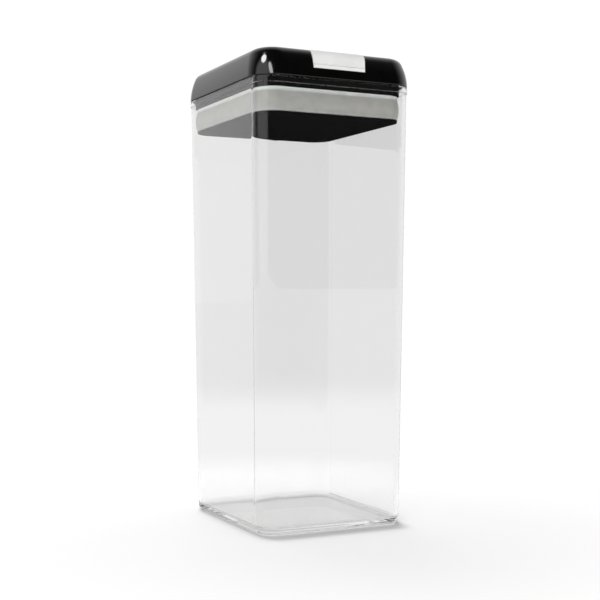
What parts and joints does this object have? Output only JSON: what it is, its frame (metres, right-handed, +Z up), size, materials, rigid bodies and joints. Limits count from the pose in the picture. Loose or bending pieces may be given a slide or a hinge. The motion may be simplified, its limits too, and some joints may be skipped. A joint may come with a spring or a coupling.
{
  "type": "food storage canister",
  "caption": "Tall square clear canister with a black lid; flipping the white lever down squeezes a silicone ring that seals the mouth.",
  "frame": {"origin": "centre of the canister's underside", "axes": "+Z up along the canister, -Y towards the front, where the lever's tip is, +X to the right seen from the front"},
  "size_m": [0.116, 0.116, 0.3048],
  "materials": {
    "clear_glass": "clear, smooth",
    "black_plastic": "high gloss",
    "white_plastic": "gloss",
    "silicone": "milky, satin",
    "natural_acetal": "satin",
    "steel": "bright"
  },
  "bodies": {
    "container": {"container": "clear_glass"},
    "lid": {"lid_cover": "black_plastic", "neck_frame": "black_plastic", "seal_ring": "silicone", "return_spring": "steel", "frame_screw_1": "steel", "frame_screw_2": "steel", "frame_screw_3": "steel", "frame_screw_4": "steel"},
    "plunger": {"base_plate": "black_plastic", "pull_post": "natural_acetal", "hinge_pin": "steel", "post_screw_1": "steel", "post_screw_2": "steel", "post_screw_3": "steel", "post_screw_4": "steel"},
    "lever": {"flip_lever": "white_plastic"}
  },
  "joints": [
    {"name": "lid_lift", "type": "slide", "parent": "container", "child": "lid", "axis": [0, 0, 1], "range_m": [0, 0.1]},
    {"name": "plate_slide", "type": "slide", "parent": "lid", "child": "plunger", "axis": [0, 0, -1], "range_m": [0, 0.003], "deforming": ["seal_ring", "return_spring"]},
    {"name": "lever_flip", "type": "hinge", "parent": "plunger", "child": "lever", "pos_m": [0, 0, 0.2982], "axis": [-1, 0, 0], "range_deg": [0, 90]}
  ],
  "couplings": [
    {"joint": "plate_slide", "follows": "lever_flip", "m_per_rad": 0.0019098}
  ]
}
